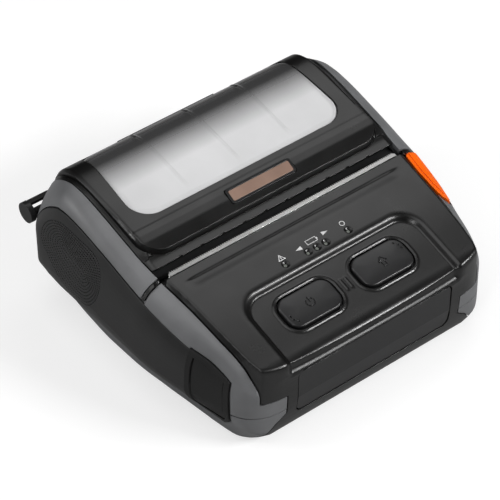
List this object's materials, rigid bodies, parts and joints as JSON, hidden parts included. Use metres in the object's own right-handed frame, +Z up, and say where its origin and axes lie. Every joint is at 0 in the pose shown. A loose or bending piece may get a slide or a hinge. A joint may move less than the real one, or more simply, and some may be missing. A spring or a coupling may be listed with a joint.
{
  "type": "mobile printer",
  "caption": "Portable thermal receipt printer with a domed see-through lid over its paper roll, a sprung cover lever, push buttons and a removable battery.",
  "frame": {"origin": "middle of the footprint, at the surface that the feet stand on", "axes": "+X to the printer's right, +Y to its rear (the hinge), +Z up; the buttons face -Y and up"},
  "size_m": [0.15, 0.1426, 0.0682],
  "materials": {
    "case_grey": "satin, fine grain",
    "cover_black": "satin, fine grain",
    "side_black": "matte grain",
    "plate_dark": "satin",
    "flap_rubber": "matte",
    "button_black": "satin",
    "lens": "frosted",
    "lever_orange": "satin",
    "window_smoke": "clear, polished",
    "badge": "satin",
    "steel": "ground",
    "spring_steel": "bright",
    "motor_steel": "zinc plated",
    "liner_black": "matte",
    "platen_black": "ground",
    "bushing": "satin",
    "gear_white": "satin",
    "head_aluminium": "extruded",
    "ceramic": "glazed",
    "flex": "satin",
    "paper": "smooth",
    "cardboard": "matte",
    "sensor_black": "matte",
    "board_green": "lacquered",
    "can_steel": "plated",
    "gold": "plated",
    "pack_black": "matte",
    "foot_rubber": "matte"
  },
  "bodies": {
    "case": {"upper_case": "case_grey", "lower_case": "case_grey", "front_panel": "cover_black", "front_plate": "plate_dark", "side_panel_left": "side_black", "side_panel_right": "side_black", "tear_bar": "steel", "lamp_lenses": "lens", "latch_spring": "spring_steel", "idler_stud": "steel", "stepper_motor": "motor_steel", "print_frame": "spring_steel", "frame_screws": "steel", "head_springs": "spring_steel", "head_cable": "flex", "roll_bin": "liner_black", "paper_sensor": "sensor_black", "lid_switch": "sensor_black", "main_board": "board_green", "key_board": "board_green", "key_switches": "sensor_black", "radio_module": "can_steel", "buzzer": "sensor_black", "power_inlet": "sensor_black", "data_port": "can_steel", "battery_contacts": "gold", "strap_lug_left": "side_black", "strap_lug_right": "side_black", "hinge_brackets": "side_black", "hinge_rod": "steel", "rubber_feet": "foot_rubber", "case_screws": "steel"},
    "lid": {"lid_cover": "cover_black", "lid_shoulder_left": "case_grey", "lid_shoulder_right": "case_grey", "window": "window_smoke", "badge_plate": "badge", "lid_frame": "liner_black", "lid_screws": "steel", "platen_bushings": "bushing"},
    "platen": {"platen_shaft": "steel", "platen_rubber": "platen_black", "platen_gear": "gear_white"},
    "idler": {"idler_gear": "gear_white"},
    "pinion": {"motor_pinion": "gold"},
    "roll": {"paper_roll": "paper", "roll_core": "cardboard"},
    "head": {"print_head": "head_aluminium", "heater_strip": "ceramic"},
    "latch": {"release_lever": "lever_orange", "latch_shaft": "steel", "latch_hooks": "spring_steel"},
    "power_key": {"power_button": "button_black"},
    "feed_key": {"feed_button": "button_black"},
    "port_flap": {"port_cover": "flap_rubber"},
    "pack": {"battery_pack": "pack_black"},
    "pack_catch": {"battery_latch": "button_black"}
  },
  "joints": [
    {"name": "lid_hinge", "type": "hinge", "parent": "case", "child": "lid", "pos_m": [0, 0.06668, 0.0382], "axis": [-1, 0, 0], "range_deg": [0, 92]},
    {"name": "platen_spin", "type": "hinge", "parent": "lid", "child": "platen", "pos_m": [0, -0.00652, 0.0425], "axis": [1, 0, 0], "continuous": true},
    {"name": "idler_spin", "type": "hinge", "parent": "case", "child": "idler", "pos_m": [-0.0638, -0.0075, 0.02653], "axis": [1, 0, 0], "continuous": true},
    {"name": "pinion_spin", "type": "hinge", "parent": "case", "child": "pinion", "pos_m": [-0.0638, -0.0201, 0.02169], "axis": [1, 0, 0], "continuous": true},
    {"name": "roll_spin", "type": "hinge", "parent": "case", "child": "roll", "pos_m": [0, 0.02998, 0.0352], "axis": [1, 0, 0], "continuous": true},
    {"name": "head_give", "type": "slide", "parent": "case", "child": "head", "axis": [0, -1, 0], "range_m": [0, 0.0008], "stiffness_N_per_m": 3000, "springref_m": -0.003},
    {"name": "lever_turn", "type": "hinge", "parent": "case", "child": "latch", "pos_m": [0, -0.00192, 0.03], "axis": [1, 0, 0], "range_deg": [0, 8], "stiffness_Nm_per_rad": 0.25, "springref_deg": -17.19},
    {"name": "power_press", "type": "slide", "parent": "case", "child": "power_key", "axis": [0, 0.2662, -0.9639], "range_m": [0, 0.0008], "stiffness_N_per_m": 1500, "springref_m": -0.0006},
    {"name": "feed_press", "type": "slide", "parent": "case", "child": "feed_key", "axis": [0, 0.2662, -0.9639], "range_m": [0, 0.0008], "stiffness_N_per_m": 1500, "springref_m": -0.0006},
    {"name": "port_flap_hinge", "type": "hinge", "parent": "case", "child": "port_flap", "pos_m": [-0.0714, -0.03902, 0.024], "axis": [0, 0, -1], "range_deg": [0, 110]},
    {"name": "pack_slide", "type": "slide", "parent": "case", "child": "pack", "axis": [0, 0, -1], "range_m": [0, 0.03]},
    {"name": "catch_slide", "type": "slide", "parent": "case", "child": "pack_catch", "axis": [0, -1, 0], "range_m": [0, 0.0025], "stiffness_N_per_m": 600, "springref_m": -0.0015}
  ],
  "couplings": [
    {"joint": "idler_spin", "follows": "platen_spin", "ratio": -0.6},
    {"joint": "pinion_spin", "follows": "platen_spin", "ratio": 1.7143}
  ]
}
